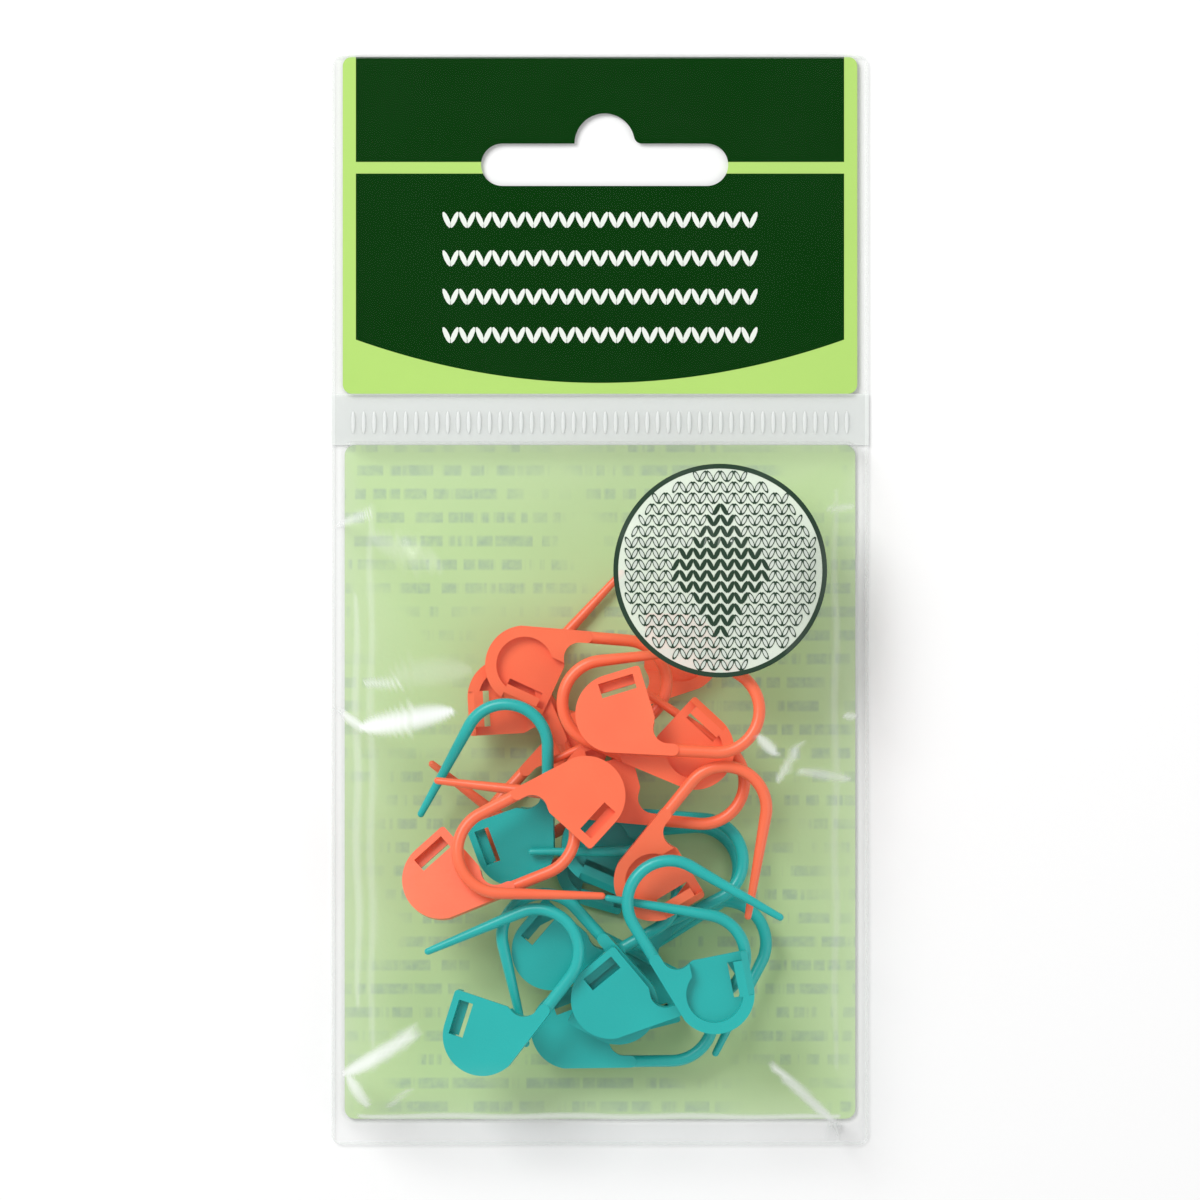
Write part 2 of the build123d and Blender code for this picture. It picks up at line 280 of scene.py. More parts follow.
def makeHead(material):
    m = marker
    r, turn, depth = m["headRadius"], m["turn"], m["thickness"] - m["plate"]
    over = m["thickness"]
    head = prism("head", headOutline(), 0, m["thickness"], material)
    left, inner = -r + m["windowWall"], r - m["rim"]
    lowTurn = 180 + math.degrees(math.asin(m["windowLow"] / inner))
    rightTurn = 360 + math.degrees(math.acos(m["pocketRight"] / inner))
    pocket = [(left, r + over), (left, -m["windowLow"])]
    pocket += arc((0, 0), inner, lowTurn, rightTurn, m["headSteps"])
    pocket += [(m["pocketRight"], r + over)]
    combine(head, prism("cut", turnedBy(pocket, turn), -over, depth, material), "DIFFERENCE")
    right = left + m["windowWidth"]
    window = [(left, -m["windowLow"]), (right, -m["windowLow"]), (right, m["windowTop"]),
              (left, m["windowTop"])]
    cut = prism("cut", turnedBy(window, turn), depth / 2, over * 2, material)
    combine(head, cut, "DIFFERENCE")
    # the hook: a ramp up the outer wall and a lip over the window
    lip = [(left - m["windowWall"] / 2, -m["windowLow"]), (left + m["lipReach"], -m["windowLow"]),
           (left + m["lipReach"], m["windowTop"]), (left - m["windowWall"] / 2, m["windowTop"])]
    combine(head, prism("lip", turnedBy(lip, turn), 0, m["lipDepth"], material), "UNION")
    slope = [(-r - over, -over), (left, -over), (left, 0), (-r, m["rampDrop"]),
             (-r - over, m["rampDrop"])]
    wedge = prism("cut", slope, -m["windowLow"], m["edgeTop"] + over, material)
    wedge.data.transform(Matrix(((1, 0, 0, 0), (0, 0, 1, 0), (0, 1, 0, 0), (0, 0, 0, 1))))
    wedge.data.transform(Matrix.Rotation(math.radians(turn), 4, "Z"))
    wedge.data.flip_normals()
    combine(head, wedge, "DIFFERENCE")
    bevel = head.modifiers.new("edges", "BEVEL")
    bevel.width, bevel.segments = m["edgeRound"], m["edgeSegments"]
    bevel.limit_method = "ANGLE"
    bevel.angle_limit = math.radians(m["edgeAngle"])
    settled(head)
    head.data.transform(Matrix.Scale(mm, 4))
    return head


def wireRoute():
    # centre points, radii and directions from inside the head to the tip of the pin
    m = marker
    legLow = m["headRadius"] * m["legStart"]
    route = [((m["legCentre"], legLow + m["legStep"] * i), m["wireRadius"])
             for i in range(m["legSteps"])]
    route += [(onBow(m["bowTurn"] * i / m["bowSteps"]), m["wireRadius"])
              for i in range(m["bowSteps"] + 1)]
    a = math.radians(m["bowTurn"])
    heading = (-math.sin(a), math.cos(a))
    start = onBow(m["bowTurn"])
    for i in range(1, m["armSteps"] + 1):
        share = i / m["armSteps"]
        radius = m["wireRadius"] + (m["tipRadius"] - m["wireRadius"]) * share
        along = m["armLength"] * share
        route.append(((start[0] + heading[0] * along, start[1] + heading[1] * along), radius))
    end = route[-1][0]
    for i in range(1, m["tipSteps"] + 1):  # rounded tip
        a = math.radians(90 * i / m["tipSteps"])
        out = m["tipRadius"] * math.sin(a)
        route.append(((end[0] + heading[0] * out, end[1] + heading[1] * out),
                      max(m["tipRadius"] * math.cos(a), m["tipEnd"])))
    return route


def makeWire(material):
    route, sides = wireRoute(), marker["wireSides"]
    points, faces = [], []
    tipFrom = len(route) - marker["tipSteps"]
    for i, ((x, y), radius) in enumerate(route):
        before, after = route[max(i - 1, 0)][0], route[min(i + 1, len(route) - 1)][0]
        heading = Vector((after[0] - before[0], after[1] - before[1], 0)).normalized()
        across = Vector((heading.y, -heading.x, 0))
        level = marker["tipRadius"] if i >= tipFrom else radius  # the reverse side stays level
        centre = Vector((x, y, level))
        for k in range(sides):
            a = 2 * math.pi * k / sides
            rise = Vector((0, 0, radius * math.sin(a)))
            points.append(centre + across * radius * math.cos(a) + rise)
    for i in range(len(route) - 1):
        for k in range(sides):
            a, b = i * sides + k, i * sides + (k + 1) % sides
            faces.append((a, a + sides, b + sides, b))
    faces += [tuple(range(sides)), tuple(len(points) - 1 - k for k in range(sides))]
    wire = newPiece("wire", points, faces, material)
    shape = bmesh.new()
    shape.from_mesh(wire.data)
    bmesh.ops.recalc_face_normals(shape, faces=shape.faces)
    shape.to_mesh(wire.data)
    shape.free()
    wire.data.transform(Matrix.Scale(mm, 4))
    return wire


def markerPlace(joint):
    # the marker's own axes, found from its hinge and from the tip of its arm in the frame
    pivot, up = Vector(joint["pos_m"]), Vector(joint["axis"]).normalized()
    name = joint["name"].replace("_hinge", "")
    arm = frame["nodes"][name + "_arm"].data
    tip = max((v.co for v in arm.vertices), key=lambda co: (co - pivot).length)
    toTip = tip - pivot
    toTip = (toTip - up * toTip.dot(up)).normalized()
    hinge, end = onBow(marker["hingeTurn"]), wireRoute()[-1][0]
    turn = math.atan2(end[1] - hinge[1], end[0] - hinge[0])
    xAxis = Matrix.Rotation(-turn, 3, up) @ toTip
    yAxis = up.cross(xAxis)
    origin = pivot - (xAxis * hinge[0] + yAxis * hinge[1] + up * marker["wireRadius"]) * mm
    place = Matrix((xAxis, yAxis, up)).transposed().to_4x4()
    place.translation = origin
    return name, place


headModel, wireModel = makeHead(coralPlastic), makeWire(coralPlastic)
for joint in frame["joints"]:
    name, place = markerPlace(joint)
    plastic = coralPlastic if name.startswith("coral") else tealPlastic
    for part, model in (("Head", headModel), ("Wire", wireModel)):
        mesh = model.data.copy()
        mesh.transform(place)
        mesh.materials.clear()
        mesh.materials.append(plastic)
        piece = bpy.data.objects.new(name + part, mesh)
        bpy.context.scene.collection.objects.link(piece)
        if part == "Head":
            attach(piece, "packet")
            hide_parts(name + "_body")
        else:
            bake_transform(piece)
            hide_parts(name + "_arm")
for model in (headModel, wireModel):
    bpy.data.objects.remove(model)


# Header card
card = {
    "lime": (0.49, 0.73, 0.19), "limeDeep": (0.44, 0.69, 0.17),
    "green": (0.0003, 0.033, 0.0008), "greenDeep": (0.001, 0.04, 0.002),
    "roughness": 0.45, "specular": 0.02, "broad": 60.0, "fine": 3000.0, "depth": 0.01,
    "panelHalf": 31.6, "upperLow": 56.7, "lowerTop": 55.2, "lowerSide": 33.7, "lowerMiddle": 28.1,
}


def printCard():
    material, tree, shader = newMaterial(
        "printedCard", card["lime"], card["roughness"], Specular_IOR_Level=card["specular"],
    )
    split = put(tree, "ShaderNodeSeparateXYZ")
    tree.links.new(put(tree, "ShaderNodeTexCoord").outputs["Object"], split.inputs[0])
    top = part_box("header_card")[1].y / mm
    half = card["panelHalf"] * mm
    upper = useGroup(tree, panel, **{
        "Half X": half, "Centre Y": top * mm, "Half Y": (top - card["upperLow"]) * mm,
    })
    lower = useGroup(tree, panel, **{
        "Half X": half, "Centre Y": card["lowerMiddle"] * mm,
        "Half Y": (card["lowerTop"] - card["lowerMiddle"]) * mm,
    })
    rise = (card["lowerSide"] - card["lowerMiddle"]) * mm / half**2
    square = sums(tree, "MULTIPLY", split.outputs["X"], split.outputs["X"])
    edge = sums(tree, "MULTIPLY_ADD", square, rise, card["lowerMiddle"] * mm)
    lowerMask = sums(tree, "MULTIPLY", lower.outputs["Mask"],
                     sums(tree, "GREATER_THAN", split.outputs["Y"], edge))
    mask = sums(tree, "MAXIMUM", upper.outputs["Mask"], lowerMask)
    tone = useGroup(tree, grain, Broad=card["broad"], Fine=card["fine"])
    ground = mixed(tree, tone.outputs["Tone"], card["lime"], card["limeDeep"])
    ink = mixed(tree, tone.outputs["Tone"], card["green"], card["greenDeep"])
    tree.links.new(mixed(tree, mask, ground, ink), shader.inputs["Base Color"])
    bumpInto(tree, shader, tone.outputs["Height"], card["depth"] * mm)
    return material


def dress(node, material):
    mesh = frame["nodes"][node].data
    mesh.materials.clear()
    mesh.materials.append(material)


# Insert sheet: pale paper with soft generic bars of print
insert = {
    "light": (0.53, 0.70, 0.36), "dark": (0.47, 0.66, 0.31), "bar": (0.30, 0.42, 0.33),
    "linePitch": 3.05, "lineShare": 0.44, "lineSoft": 0.05, "lineShift": 7.31,
    "wordLength": 1.7, "wordFrom": 0.42, "wordTo": 0.5, "wornFrom": 0.42, "wornTo": 0.54,
    "strength": 0.9, "roughness": 0.6, "broad": 55.0, "fine": 1300.0, "depth": 0.02,
}


def ramp(tree, value, low, high):
    node = put(tree, "ShaderNodeMapRange", From_Min=low, From_Max=high)
    tree.links.new(value, node.inputs["Value"])
    return node.outputs["Result"]


def printInsert():
    material, tree, shader = newMaterial("insertPaper", insert["light"], insert["roughness"])
    split = put(tree, "ShaderNodeSeparateXYZ")
    tree.links.new(put(tree, "ShaderNodeTexCoord").outputs["Object"], split.inputs[0])
    lines = sums(tree, "DIVIDE", split.outputs["Y"], insert["linePitch"] * mm)
    away = sums(tree, "ABSOLUTE", sums(tree, "SUBTRACT", sums(tree, "FRACT", lines), 0.5))
    half, soft = insert["lineShare"] / 2, insert["lineSoft"]
    inLine = ramp(tree, away, half + soft, half - soft)
    seat = put(tree, "ShaderNodeCombineXYZ")
    along = sums(tree, "DIVIDE", split.outputs["X"], insert["wordLength"] * mm)
    feed(tree, seat.inputs["X"], along)
    shift = sums(tree, "MULTIPLY", sums(tree, "FLOOR", lines), insert["lineShift"])
    feed(tree, seat.inputs["Y"], shift)
    words = put(tree, "ShaderNodeTexNoise", Scale=1.0, Detail=2.0)
    tree.links.new(seat.outputs[0], words.inputs["Vector"])
    inWord = ramp(tree, words.outputs["Fac"], insert["wordFrom"], insert["wordTo"])
    tone = useGroup(tree, grain, Broad=insert["broad"], Fine=insert["fine"])
    worn = ramp(tree, tone.outputs["Tone"], insert["wornFrom"], insert["wornTo"])
    shown = sums(tree, "MULTIPLY", inLine, inWord)
    for share in (worn, tone.outputs["Height"], insert["strength"]):
        shown = sums(tree, "MULTIPLY", shown, share)
    paper = mixed(tree, tone.outputs["Tone"], insert["light"], insert["dark"])
    tree.links.new(mixed(tree, shown, paper, insert["bar"]), shader.inputs["Base Color"])
    bumpInto(tree, shader, tone.outputs["Height"], insert["depth"] * mm)
    return material


dress("header_card", printCard())
dress("insert_sheet", printInsert())
print("card and insert dressed")


# Film of the pouch: flat over the card, crimped at the seal, bulging over the markers
filmLow, filmHigh = (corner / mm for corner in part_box("front_film"))
cardBox = [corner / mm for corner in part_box("header_card")]
insertBox = [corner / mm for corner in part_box("insert_sheet")]
film = {
    "tint": (0.94, 0.97, 0.95), "haze": 0.004, "roughness": 0.12, "sealHaze": 0.4,
    "sheet": 0.15, "margin": 0.5, "corner": 1.5, "growth": 9.0, "shoulder": 0.97,
    "sideRun": 13.0, "topRun": 17.0, "footRun": 11.0, "wrinkle": 0.22, "waver": 0.22,
    "wallRings": 36, "topRings": 50, "headerRise": 0.2, "cardCorner": 1.2,
    "pocketGap": 0.35, "headerGap": 0.05, "waverPitch": 0.06, "waverSeed": 3,
    "coat": 0.5, "coatRoughness": 0.05, "broad": 90.0, "fine": 600.0, "depth": 0.02,
    "slantBlend": 0.3, "slantHaze": 0.25, "rimHaze": 0.15, "hazeLeast": 0.5,
    "searchSteps": 24, "bulgeFrom": 1.01,
}
crumple = {
    "waveX": 0.09, "waveY": 0.05, "waveSeed": 1.0, "waveShare": 0.7,
    "foldX": 0.22, "foldY": 0.16, "foldSeed": 7.0, "foldShare": 0.25, "foldLevel": 0.6,
    "edgeReach": 9.0,
}
hangSlot = {
    "width": 32.0, "height": 5.5, "x": 0.6, "top": 59.1, "hump": 3.9, "fillet": 1.0,
    "endSteps": 12, "filletSteps": 6, "humpSteps": 20,
}
# Glints and creases seen on the film, as painted highlights: two ends, half width and strength
glints = (
    (-30.5, -16.3, -18.9, -14.3, 1.4, 0.95), (-33.3, -14.6, -30.1, -16.5, 0.5, 0.7),
    (-30.0, -10.6, -25.2, -10.5, 0.4, 0.45), (-33.7, 9.7, -29.2, 11.4, 0.3, 0.5),
    (-29.1, 8.2, -20.1, 4.2, 1.5, 0.18), (-26.5, -9.5, -16.8, -9.0, 1.8, 0.15),
    (-29.4, 12.0, -29.2, -60.0, 0.35, 0.16), (-31.4, 0.5, -31.0, -52.0, 0.4, 0.2),
    (20.3, -17.4, 22.4, -19.6, 0.6, 0.6), (22.6, -23.0, 25.5, -18.4, 0.4, 0.45),
    (25.3, -21.9, 31.8, -23.0, 0.5, 0.4), (31.6, -14.9, 33.1, -14.9, 0.3, 0.5),
    (29.2, 11.5, 32.4, 12.1, 0.2, 0.35), (30.2, 14.0, 30.2, -60.0, 0.35, 0.16),
    (-33.0, -61.1, -23.3, -54.9, 0.9, 0.75), (-32.5, -61.4, -29.8, -64.8, 0.7, 0.6),
    (-26.9, -64.8, -24.6, -62.8, 0.2, 0.35), (22.3, -59.8, 31.0, -68.0, 0.5, 0.7),
    (28.2, -68.8, 30.0, -68.1, 0.2, 0.5), (-30.8, -66.4, 30.8, -66.5, 0.3, 0.55),
)

glintEdge = {"round": 4.2, "tip": 0.05, "soft": 0.3, "bendX": 0.15, "turnX": 0.35,
             "bendY": 0.1, "turnY": 0.4}


def glintAt(x, y):
    shown = np.zeros(len(x))
    for x0, y0, x1, y1, width, strength in glints:
        along = np.clip(((x - x0) * (x1 - x0) + (y - y0) * (y1 - y0))
                        / ((x1 - x0) ** 2 + (y1 - y0) ** 2), 0, 1)
        away = np.hypot(x - x0 - along * (x1 - x0), y - y0 - along * (y1 - y0))
        lens = np.clip(glintEdge["round"] * along * (1 - along), glintEdge["tip"], 1)
        reach = width * np.sqrt(lens) + glintEdge["soft"]
        shown = np.maximum(shown, strength * np.clip(1 - (away / reach) ** 2, 0, 1))
    return shown


def ringSizes(run):  # half width, low edge, high edge and corner of the skin at one run inwards
    gap = film["pocketGap"]
    half = insertBox[1].x + gap + film["sheet"] - run * film["sideRun"]
    low = insertBox[0].y - gap - film["sheet"] + run * film["footRun"]
    high = insertBox[1].y + gap + film["sheet"] - run * film["topRun"]
    return half, low, high, film["corner"] + film["sheet"] + run * film["growth"]


def ringPoints(half, low, high, corner, bends=14, sides=170, ends=130):
    centres = ((half - corner, low + corner), (half - corner, high - corner),
               (corner - half, high - corner), (corner - half, low + corner))
    arcs = [arc(centre, corner, 90 * i - 90, 90 * i, bends) for i, centre in enumerate(centres)]
    points = []
    for i, bend in enumerate(arcs):
        (x0, y0), (x1, y1) = bend[-1], arcs[(i + 1) % 4][0]
        count = ends if i % 2 else sides
        points += bend + [(x0 + (x1 - x0) * k / count, y0 + (y1 - y0) * k / count)
                          for k in range(1, count)]
    return np.array(points)


def wrinkle(x, y):  # gathers that fade from the sealed edges, and a slow waver over the heap
    half, low, high, _ = ringSizes(0)
    edge = np.minimum(np.minimum(half - abs(x), y - low), high - y)
    c = crumple
    wave = np.array([noise.noise(Vector((a * c["waveX"], b * c["waveY"], c["waveSeed"])))
                     for a, b in zip(x, y)])
    fold = np.array([noise.noise(Vector((a * c["foldX"], b * c["foldY"], c["foldSeed"])))
                     for a, b in zip(x, y)])
    ridge = 1 - 2 * abs(fold) - c["foldLevel"]
    near = np.exp(-edge / c["edgeReach"])
    return film["wrinkle"] * (c["waveShare"] * wave + (c["foldShare"] + near) * ridge)


def skinHeight(x, y):
    most = 1 - math.sqrt(1 - film["shoulder"] ** 2)
    inner, outer = np.zeros(len(x)), np.full(len(x), most)
    for _ in range(film["searchSteps"]):
        run = (inner + outer) / 2
        half, low, high, corner = ringSizes(run)
        across = abs(x) - half + corner
        up = abs(y - (low + high) / 2) - (high - low) / 2 + corner
        away = np.hypot(np.maximum(across, 0), np.maximum(up, 0)) - corner
        inside = away + np.minimum(np.maximum(across, up), 0) < 0
        inner, outer = np.where(inside, run, inner), np.where(inside, outer, run)
    share = np.sqrt(1 - (1 - np.clip(inner, 0, most)) ** 2) / film["shoulder"]
    rise = 2 * film["sheet"]
    return rise + share * (topLevel - rise) + wrinkle(x, y) * share


topLevel = filmHigh.z - film["wrinkle"]


def slotOutline():
    s = hangSlot
    reach = s["hump"] + s["fillet"]
    turn = math.degrees(math.asin(s["fillet"] / reach))
    side = reach * math.cos(math.radians(turn))
    middle, end = s["top"] - s["height"] / 2, (s["width"] - s["height"]) / 2
    foot, bends = s["top"] + s["fillet"], s["filletSteps"]
    outline = arc((s["x"] + end, middle), s["height"] / 2, -90, 90, s["endSteps"])
    outline += arc((s["x"] + side, foot), s["fillet"], 270, 180 + turn, bends)
    outline += arc((s["x"], s["top"]), s["hump"], turn, 180 - turn, s["humpSteps"])
    outline += arc((s["x"] - side, foot), s["fillet"], -turn, -90, bends)
    return outline + arc((s["x"] - end, middle), s["height"] / 2, 90, 270, s["endSteps"])


def makeFilm(material):
    skin = bmesh.new()

    def loop(points, level):
        corners = [skin.verts.new((x, y, z)) for (x, y), z in
                   zip(points, np.broadcast_to(level, len(points)))]
        return corners, [skin.edges.new((corners[i - 1], corners[i])) for i in range(len(corners))]

    def bridge(one, two):
        for i in range(len(one)):
            skin.faces.new((one[i - 1], one[i], two[i], two[i - 1]))

    def fill(*loops):
        bmesh.ops.triangle_fill(skin, use_beauty=True, edges=[e for edges in loops for e in edges])

    seam = 2 * film["sheet"]
    outline = ringPoints(filmHigh.x, filmLow.y, filmHigh.y, film["corner"], bends=6, sides=60,
                         ends=30)
    waver = [film["waver"] * abs(noise.noise(Vector((0, y * film["waverPitch"], film["waverSeed"]))))
             for _, y in outline]
    outline = [(x - math.copysign(inwards, x), y) for (x, y), inwards in zip(outline, waver)]
    headerLevel = cardBox[1].z + film["sheet"] + film["headerGap"]
    rise = film["headerRise"]
    headerRing = ringPoints(cardBox[1].x + rise, cardBox[0].y - rise, cardBox[1].y + rise,
                            film["cardCorner"], bends=6, sides=30, ends=30)
    base, low = loop(outline, seam), loop(headerRing, seam)
    raised = loop(headerRing, headerLevel)
    pocket = loop(ringPoints(*ringSizes(0)), seam)
    fill(base[1], low[1], pocket[1])
    bridge(low[0], raised[0])
    fill(raised[1], loop(slotOutline(), headerLevel)[1])

    last = pocket[0]
    rings = [k / film["wallRings"] for k in range(1, film["wallRings"] + 1)]
    for share in rings:
        run = 1 - math.sqrt(1 - (share * film["shoulder"]) ** 2)
        points = ringPoints(*ringSizes(run))
        level = seam + share * (topLevel - seam) + wrinkle(*points.T) * share
        ring = loop(points, level)[0]
        bridge(last, ring)
        last = ring
    _, lowY, highY, _ = ringSizes(run)
    middle = np.array((0, (lowY + highY) / 2))
    for k in range(1, film["topRings"]):
        inner = middle + (points - middle) * (1 - k / film["topRings"])
        ring = loop(inner, topLevel + wrinkle(*inner.T))[0]
        bridge(last, ring)
        last = ring
    skin.faces.new(last)
    bmesh.ops.recalc_face_normals(skin, faces=skin.faces)
    mesh = bpy.data.meshes.new("frontFilm")
    skin.to_mesh(mesh)
    skin.free()
    places = np.empty(len(mesh.vertices) * 3)
    mesh.vertices.foreach_get("co", places)
    x, y, z = places.reshape(-1, 3).T
    # painted highlights: the glints go into a point attribute that whitens the film along them
    g = glintEdge
    shown = glintAt(x + g["bendX"] * np.sin(y * g["turnX"]), y + g["bendY"] * np.sin(x * g["turnY"]))
    shown *= y < insertBox[1].y
    mesh.attributes.new("crease", "FLOAT", "POINT").data.foreach_set("value", shown.astype("f"))
    mesh.materials.append(material)
    for face in mesh.polygons:  # only the bulge is smooth
        face.use_smooth = face.center.y < insertBox[1].y and face.center.z > seam * film["bulgeFrom"]
    mesh.transform(Matrix.Scale(mm, 4))
    if mesh.polygons[len(mesh.polygons) - 1].normal.z < 0:
        mesh.flip_normals()
    piece = bpy.data.objects.new("frontFilm", mesh)
    bpy.context.scene.collection.objects.link(piece)
    return piece


def filmFinish(name):
    material, tree, shader = newMaterial(
        name, film["tint"], film["roughness"], Coat_Weight=film["coat"],
        Coat_Roughness=film["coatRoughness"],
    )
    tone = useGroup(tree, grain, Broad=film["broad"], Fine=film["fine"])
    alpha = sums(tree, "MULTIPLY_ADD", tone.outputs["Tone"], film["haze"],
                 film["haze"] * film["hazeLeast"])
    # painted highlights: the glint attribute from makeFilm raises the film's white alpha
    crease = put(tree, "ShaderNodeAttribute", props={"attribute_name": "crease"})
    # painted reflection: the film turns whiter towards grazing angles, in place of the reflection a
    # film shows there
    slant = put(tree, "ShaderNodeLayerWeight", Blend=film["slantBlend"])
    side = sums(tree, "MULTIPLY", slant.outputs["Facing"], film["slantHaze"])
    alpha = sums(tree, "ADD", alpha, side)
    seal = useGroup(tree, panel, **{
        "Centre Y": (cardBox[0].y + insertBox[1].y) / 2 * mm, "Half X": filmHigh.x * mm,
        "Half Y": (cardBox[0].y - insertBox[1].y) / 2 * mm,
    })
    inner = useGroup(tree, panel, **{
        "Half X": (filmHigh.x - film["margin"]) * mm, "Half Y": (filmHigh.y - film["margin"]) * mm,
    })
    rim = sums(tree, "MULTIPLY_ADD", inner.outputs["Mask"], -film["rimHaze"], film["rimHaze"])
    for mask, share in ((seal.outputs["Mask"], film["sealHaze"]), (crease.outputs["Fac"], 1.0),
                        (rim, 1.0)):
        alpha = sums(tree, "MULTIPLY_ADD", mask, share, alpha)
    tree.links.new(sums(tree, "MINIMUM", alpha, 1.0), shader.inputs["Alpha"])
    bumpInto(tree, shader, tone.outputs["Height"], film["depth"] * mm)
    return material


clearFilm = filmFinish("clearFilm")
dress("back_film", clearFilm)
frontFilm = makeFilm(clearFilm)
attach(frontFilm, "packet")
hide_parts("front_film")
print("film made", len(frontFilm.data.polygons), "faces")


# Repeat: one unit object on every point of a grid
repeat = bpy.data.node_groups.new("repeatField", "GeometryNodeTree")
for label, kind in (("Geometry", "Geometry"), ("Unit", "Object"), ("Columns", "Int"),
                    ("Rows", "Int"), ("Pitch X", "Float"), ("Pitch Y", "Float"),
                    ("Finish", "Material")):
    repeat.interface.new_socket(label, in_out="INPUT", socket_type="NodeSocket" + kind)
repeat.interface.new_socket("Field", in_out="OUTPUT", socket_type="NodeSocketGeometry")
repeatIn, repeatOut = repeat.nodes.new("NodeGroupInput"), repeat.nodes.new("NodeGroupOutput")
grid = put(repeat, "GeometryNodeMeshGrid")
for axis, label in (("X", "Columns"), ("Y", "Rows")):
    steps = sums(repeat, "SUBTRACT", repeatIn.outputs[label], 1.0)
    size = sums(repeat, "MULTIPLY", steps, repeatIn.outputs["Pitch " + axis])
    repeat.links.new(size, grid.inputs["Size " + axis])
    repeat.links.new(repeatIn.outputs[label], grid.inputs["Vertices " + axis])
unit = put(repeat, "GeometryNodeObjectInfo")
repeat.links.new(repeatIn.outputs["Unit"], unit.inputs["Object"])
spread = put(repeat, "GeometryNodeInstanceOnPoints")
repeat.links.new(grid.outputs["Mesh"], spread.inputs["Points"])
repeat.links.new(unit.outputs["Geometry"], spread.inputs["Instance"])
real, dye = put(repeat, "GeometryNodeRealizeInstances"), put(repeat, "GeometryNodeSetMaterial")
repeat.links.new(spread.outputs[0], real.inputs[0])
repeat.links.new(real.outputs[0], dye.inputs["Geometry"])
repeat.links.new(repeatIn.outputs["Finish"], dye.inputs["Material"])
repeat.links.new(dye.outputs[0], repeatOut.inputs[0])


def field(name, unitObject, finish, centre, columns, rows, pitchX, pitchY, node):
    piece = bpy.data.objects.new(name, bpy.data.meshes.new(name))
    bpy.context.scene.collection.objects.link(piece)
    modifier = piece.modifiers.new("repeat", "NODES")
    modifier.node_group = repeat
    values = {"Unit": unitObject, "Columns": columns, "Rows": rows, "Pitch X": pitchX * mm,
              "Pitch Y": pitchY * mm, "Finish": finish}
    for item in repeat.interface.items_tree:
        if item.in_out == "INPUT" and item.name in values:
            modifier[item.identifier] = values[item.name]
    settled(piece)
    piece.data.transform(Matrix.Translation(Vector(centre) * mm))
    bpy.data.objects.remove(unitObject)
    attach(piece, "packet")
    if node:
        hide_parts(node)
    return piece


def stitchUnit(width, length, lean, apart, sides=10):  # two leaves that lean together at the foot
    points, faces = [], []
    for side in (-1, 1):
        leaf = [(width * math.cos(a), length * math.sin(a)) for a in
                (2 * math.pi * k / sides for k in range(sides))]
        leaf = turnedBy(leaf, -side * lean)
        faces.append([len(points) + k for k in range(sides)])
        points += [((x + side * apart) * mm, y * mm, 0) for x, y in leaf]
    return newPiece("stitch", points, faces, inkWhite, smooth=False)


def trimmed(piece, keep, lift=None):  # keep the faces that pass, then lay them on the film
    shape = bmesh.new()
    shape.from_mesh(piece.data)
    gone = [f for f in shape.faces if not keep(*(f.calc_center_median() / mm).xy)]
    bmesh.ops.delete(shape, geom=gone, context="FACES")
    if lift is not None:
        x, y = np.array([v.co.xy for v in shape.verts]).reshape(-1, 2).T / mm
        for vert, level in zip(shape.verts, skinHeight(x, y)):
            vert.co.z = (level + lift) * mm
    shape.to_mesh(piece.data)
    shape.free()
    return piece


# Crimped ribs of the seal
rib = {
    "width": 0.62, "length": 3.5, "height": 0.3, "count": 48, "pitch": 1.36, "y": 23.0, "z": 0.2,
    "rounds": 2, "tint": (0.93, 0.95, 0.94), "deep": (0.84, 0.88, 0.86), "roughness": 0.2,
    "alpha": 0.75,
}
ribFilm = printed("ribFilm", rib["tint"], rib["deep"], rib["roughness"], Alpha=rib["alpha"])
block = prism("rib", [(x * rib["width"] / 2, y * rib["length"] / 2) for x, y in
                      ((-1, -1), (1, -1), (1, 1), (-1, 1))], 0, rib["height"], ribFilm)
rounding = block.modifiers.new("round", "SUBSURF")
rounding.levels = rib["rounds"]
settled(block).data.transform(Matrix.Scale(mm, 4))
field("sealRibs", block, ribFilm, (0, rib["y"], rib["z"]), rib["count"], 1, rib["pitch"], 1.0,
      "front_film")

# Rows of white knit stitches on the card
band = {
    "columns": 19, "rows": 4, "pitchX": 2.15, "pitchY": 4.97, "y": 41.75, "lift": 0.02,
    "width": 0.34, "length": 1.15, "lean": 24, "apart": 0.5,
}
field("cardStitches", stitchUnit(band["width"], band["length"], band["lean"], band["apart"]),
      inkWhite, (0, band["y"], cardBox[1].z + band["lift"]), band["columns"], band["rows"],
      band["pitchX"], band["pitchY"], None)

# Badge on the film: a ring, a pale field and knit columns with a dark diamond
badge = {
    "radius": 13.7, "ring": 0.62, "x": 15.4, "y": 3.8, "pitchX": 1.75, "pitchY": 1.42,
    "diamondX": 6.2, "diamondY": 9.4, "lift": 0.03, "middle": 0.3, "lap": 0.1, "edgeGap": 0.6,
    "leafWidth": 0.3, "leafLength": 0.86, "lean": 27, "apart": 0.42, "heart": 0.66,
}


def disc(name, inner, outer, lift, finish, rings=24, sides=120):
    points = [(badge["x"], badge["y"])]
    for k in range(rings + 1):
        radius = inner + (outer - inner) * k / rings
        points += arc((badge["x"], badge["y"]), radius, 0, 360 * (1 - 1 / sides), sides - 1)
    faces = [(1 + k * sides + i, 1 + (k + 1) * sides + i, 1 + (k + 1) * sides + (i + 1) % sides,
              1 + k * sides + (i + 1) % sides) for k in range(rings) for i in range(sides)]
    if inner == badge["middle"]:
        faces += [(0, 1 + i, 1 + (i + 1) % sides) for i in range(sides)]
    points = np.array(points)
    levels = skinHeight(*points.T) + lift
    piece = newPiece(name, [(x * mm, y * mm, z * mm) for (x, y), z in zip(points, levels)],
                     faces, finish)
    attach(piece, "packet")
    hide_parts("badge")
    return piece


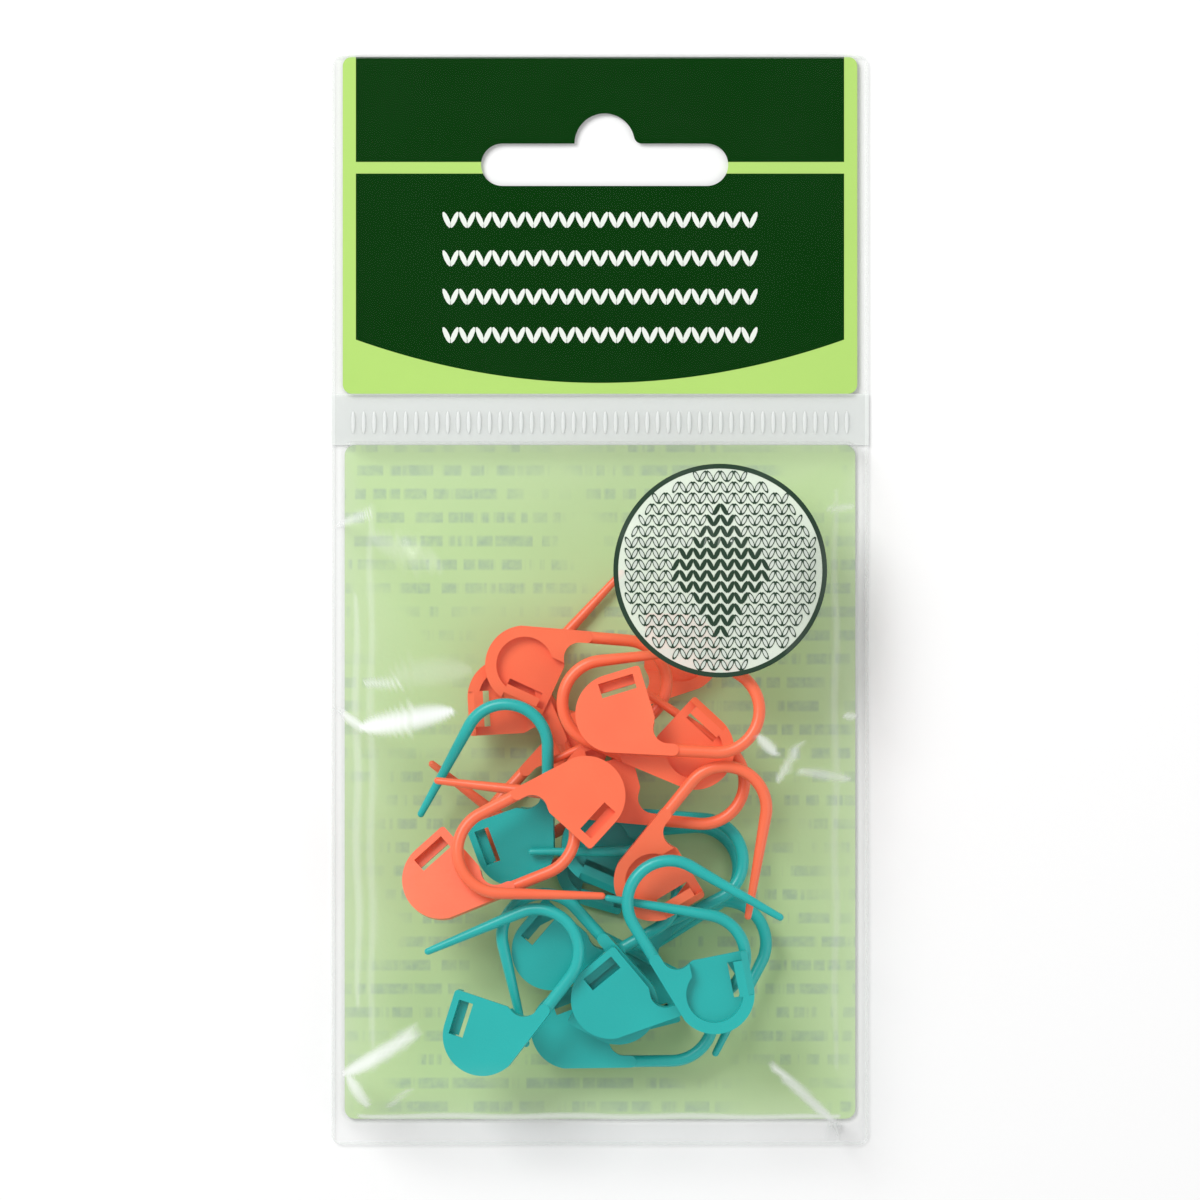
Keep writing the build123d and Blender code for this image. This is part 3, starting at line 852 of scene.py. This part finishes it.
lift = badge["lift"]
rim = badge["radius"] - badge["ring"]
disc("badgeField", badge["middle"], rim + badge["lap"], lift, badgeField)
disc("badgeRing", rim, badge["radius"], 2 * lift, inkDark, rings=3)
columns, rows = (int(2 * rim / badge[key]) for key in ("pitchX", "pitchY"))


def inDiamond(x, y):
    return abs(x - badge["x"]) / badge["diamondX"] + abs(y - badge["y"]) / badge["diamondY"] < 1


def onField(x, y):
    return math.hypot(x - badge["x"], y - badge["y"]) < rim - badge["edgeGap"]


for name, size, ink, level, keep in (
    ("badgeStitches", 1.0, inkDark, 3, onField),
    ("badgeStitchHearts", badge["heart"], badgeField, 4,
     lambda x, y: onField(x, y) and not inDiamond(x, y)),
):
    stitch = stitchUnit(badge["leafWidth"] * size, badge["leafLength"] * size, badge["lean"],
                        badge["apart"])
    trimmed(field(name, stitch, ink, (badge["x"], badge["y"], 0), columns, rows,
                  badge["pitchX"], badge["pitchY"], "badge"), keep, level * lift)
print("ribs, card stitches and badge made")


# Stage
stage = {
    "floor": (0.96, 0.96, 0.96), "floorSize": 2.0, "floorLevel": -0.0002, "floorRoughness": 0.7,
    "floorBroad": 2.0, "world": 0.56, "frameHeight": 155.4, "distance": 1.2, "sensor": 36.0,
    "clipStart": 0.01,
}
# Lamps: place, size and power
lamps = {
    "keyLight": ((-0.35, 0.35, 0.55), 0.35, 3.5),
    "fillLight": ((0.5, -0.2, 0.5), 0.5, 0.8),
}
floorPaper = printed("floorPaper", stage["floor"], stage["floor"], stage["floorRoughness"],
                     broad=stage["floorBroad"])
floor = newPiece("floor", [(x * stage["floorSize"], y * stage["floorSize"], stage["floorLevel"])
                           for x, y in ((-1, -1), (1, -1), (1, 1), (-1, 1))], [(0, 1, 2, 3)],
                 floorPaper)

world = bpy.data.worlds.new("studio")
bpy.context.scene.world = world
world.use_nodes = True
background = world.node_tree.nodes["Background"]
background.inputs["Color"].default_value = (1, 1, 1, 1)
background.inputs["Strength"].default_value = stage["world"]

for label, (place, size, power) in lamps.items():
    lamp = bpy.data.lights.new(label, "AREA")
    lamp.energy, lamp.size = power, size
    light = bpy.data.objects.new(label, lamp)
    light.location = place
    light.rotation_euler = (-Vector(place)).to_track_quat("-Z", "Y").to_euler()
    bpy.context.scene.collection.objects.link(light)

camera = bpy.data.objects.new("camera", bpy.data.cameras.new("camera"))
bpy.context.scene.collection.objects.link(camera)
camera.location = (0, 0, stage["distance"])
camera.data.sensor_width = stage["sensor"]
camera.data.lens = stage["sensor"] * stage["distance"] / (stage["frameHeight"] * mm)
camera.data.clip_start = stage["clipStart"]
bpy.context.scene.camera = camera
bpy.context.scene.view_settings.view_transform = "Standard"
print("stage set")
